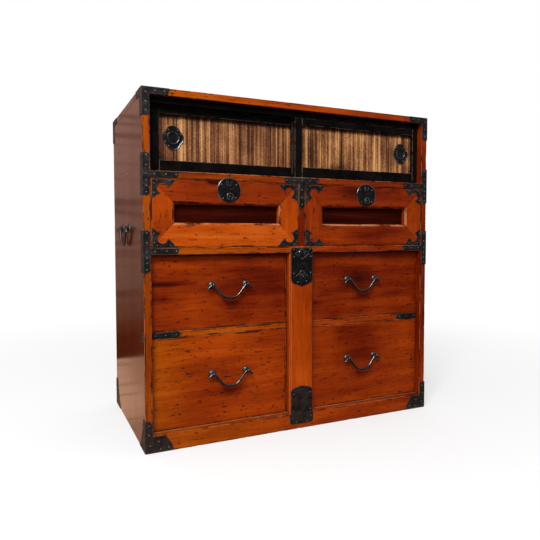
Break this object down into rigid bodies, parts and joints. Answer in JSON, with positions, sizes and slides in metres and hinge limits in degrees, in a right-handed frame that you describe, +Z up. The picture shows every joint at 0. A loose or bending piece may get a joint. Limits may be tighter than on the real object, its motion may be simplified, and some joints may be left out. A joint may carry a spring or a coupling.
{
  "type": "isho clothing chest",
  "caption": "Low lacquered clothing chest with sliding doors over upper and lower drawers, iron corner mounts, bail handles and a lift-off lock bar.",
  "frame": {"origin": "centre of the base, on the floor", "axes": "+X to the chest's right as one faces it, +Y from the front to the back, +Z up"},
  "size_m": [0.9466, 0.4771, 0.94],
  "materials": {
    "lacquered_case": "glossy dark red-brown lacquer",
    "lacquered_front": "glossy worn orange-red lacquer",
    "black_iron": "forged, blackened",
    "black_lacquer": "black lacquer, worn at the arrises",
    "striped_panel": "matt, streaked by age",
    "dark_panel": "dark red-brown",
    "plain_softwood": "bare planed softwood"
  },
  "bodies": {
    "carcass": {"back_boards": "lacquered_case", "base_runners": "plain_softwood", "bottom_board": "plain_softwood", "bottom_rail": "lacquered_front", "carcass_nails": "black_iron", "centre_stile": "lacquered_front", "centre_strap": "black_iron", "corner_irons_bottom": "black_iron", "corner_irons_top": "black_iron", "door_head_track": "black_lacquer", "drawer_guides": "plain_softwood", "left_side": "lacquered_case", "lock_bar_keeper_plate": "black_iron", "lower_divider": "plain_softwood", "lower_shelves": "lacquered_front", "middle_shelf": "lacquered_front", "rail_straps": "black_iron", "right_side": "lacquered_case", "shelf_straps": "black_iron", "side_handle_posts": "black_iron", "top_board": "lacquered_case", "upper_divider": "lacquered_front", "upper_shelf": "lacquered_front"},
    "left_door": {"left_door_frame": "black_lacquer", "left_door_panel": "striped_panel", "left_door_pull": "black_iron"},
    "left_upper_drawer": {"left_upper_drawer_frame": "lacquered_front", "left_upper_drawer_panel": "dark_panel", "left_upper_drawer_box": "plain_softwood", "left_upper_drawer_irons": "black_iron", "left_upper_drawer_lock": "black_iron"},
    "left_middle_drawer": {"left_middle_drawer_front": "lacquered_front", "left_middle_drawer_box": "plain_softwood", "left_middle_drawer_posts": "black_iron"},
    "left_middle_bail": {"left_middle_drawer_bail": "black_iron"},
    "left_bottom_drawer": {"left_bottom_drawer_front": "lacquered_front", "left_bottom_drawer_box": "plain_softwood", "left_bottom_drawer_posts": "black_iron"},
    "left_bottom_bail": {"left_bottom_drawer_bail": "black_iron"},
    "left_side_bail": {"left_side_bail": "black_iron"},
    "right_door": {"right_door_frame": "black_lacquer", "right_door_panel": "striped_panel", "right_door_pull": "black_iron"},
    "right_upper_drawer": {"right_upper_drawer_frame": "lacquered_front", "right_upper_drawer_panel": "dark_panel", "right_upper_drawer_box": "plain_softwood", "right_upper_drawer_irons": "black_iron", "right_upper_drawer_lock": "black_iron"},
    "right_middle_drawer": {"right_middle_drawer_front": "lacquered_front", "right_middle_drawer_box": "plain_softwood", "right_middle_drawer_posts": "black_iron"},
    "right_middle_bail": {"right_middle_drawer_bail": "black_iron"},
    "right_bottom_drawer": {"right_bottom_drawer_front": "lacquered_front", "right_bottom_drawer_box": "plain_softwood", "right_bottom_drawer_posts": "black_iron"},
    "right_bottom_bail": {"right_bottom_drawer_bail": "black_iron"},
    "right_side_bail": {"right_side_bail": "black_iron"},
    "lock_bar": {"lock_bar": "lacquered_front", "lock_bar_plate": "black_iron", "lock_bar_foot_plate": "black_iron"}
  },
  "joints": [
    {"name": "left_door_slide", "type": "slide", "parent": "carcass", "child": "left_door", "axis": [1, 0, 0], "range_m": [0, 0.42]},
    {"name": "right_door_slide", "type": "slide", "parent": "carcass", "child": "right_door", "axis": [-1, 0, 0], "range_m": [0, 0.42]},
    {"name": "left_upper_drawer_slide", "type": "slide", "parent": "carcass", "child": "left_upper_drawer", "axis": [0, -1, 0], "range_m": [0, 0.34]},
    {"name": "right_upper_drawer_slide", "type": "slide", "parent": "carcass", "child": "right_upper_drawer", "axis": [0, -1, 0], "range_m": [0, 0.34]},
    {"name": "left_middle_drawer_slide", "type": "slide", "parent": "carcass", "child": "left_middle_drawer", "axis": [0, -1, 0], "range_m": [0, 0.34]},
    {"name": "right_middle_drawer_slide", "type": "slide", "parent": "carcass", "child": "right_middle_drawer", "axis": [0, -1, 0], "range_m": [0, 0.34]},
    {"name": "left_bottom_drawer_slide", "type": "slide", "parent": "carcass", "child": "left_bottom_drawer", "axis": [0, -1, 0], "range_m": [0, 0.34]},
    {"name": "right_bottom_drawer_slide", "type": "slide", "parent": "carcass", "child": "right_bottom_drawer", "axis": [0, -1, 0], "range_m": [0, 0.34]},
    {"name": "left_middle_bail_hinge", "type": "hinge", "parent": "left_middle_drawer", "child": "left_middle_bail", "pos_m": [-0.2175, -0.229, 0.43], "axis": [-1, 0, 0], "range_deg": [0, 95]},
    {"name": "right_middle_bail_hinge", "type": "hinge", "parent": "right_middle_drawer", "child": "right_middle_bail", "pos_m": [0.2175, -0.229, 0.43], "axis": [-1, 0, 0], "range_deg": [0, 95]},
    {"name": "left_bottom_bail_hinge", "type": "hinge", "parent": "left_bottom_drawer", "child": "left_bottom_bail", "pos_m": [-0.2175, -0.229, 0.187], "axis": [-1, 0, 0], "range_deg": [0, 95]},
    {"name": "right_bottom_bail_hinge", "type": "hinge", "parent": "right_bottom_drawer", "child": "right_bottom_bail", "pos_m": [0.2175, -0.229, 0.187], "axis": [-1, 0, 0], "range_deg": [0, 95]},
    {"name": "left_side_bail_hinge", "type": "hinge", "parent": "carcass", "child": "left_side_bail", "pos_m": [-0.465, 0.012, 0.585], "axis": [0, 1, 0], "range_deg": [0, 90]},
    {"name": "right_side_bail_hinge", "type": "hinge", "parent": "carcass", "child": "right_side_bail", "pos_m": [0.465, 0.012, 0.585], "axis": [0, -1, 0], "range_deg": [0, 90]},
    {"name": "lock_bar_lift_off", "type": "slide", "parent": "carcass", "child": "lock_bar", "axis": [0, -1, 0], "range_m": [0, 0.15]}
  ]
}
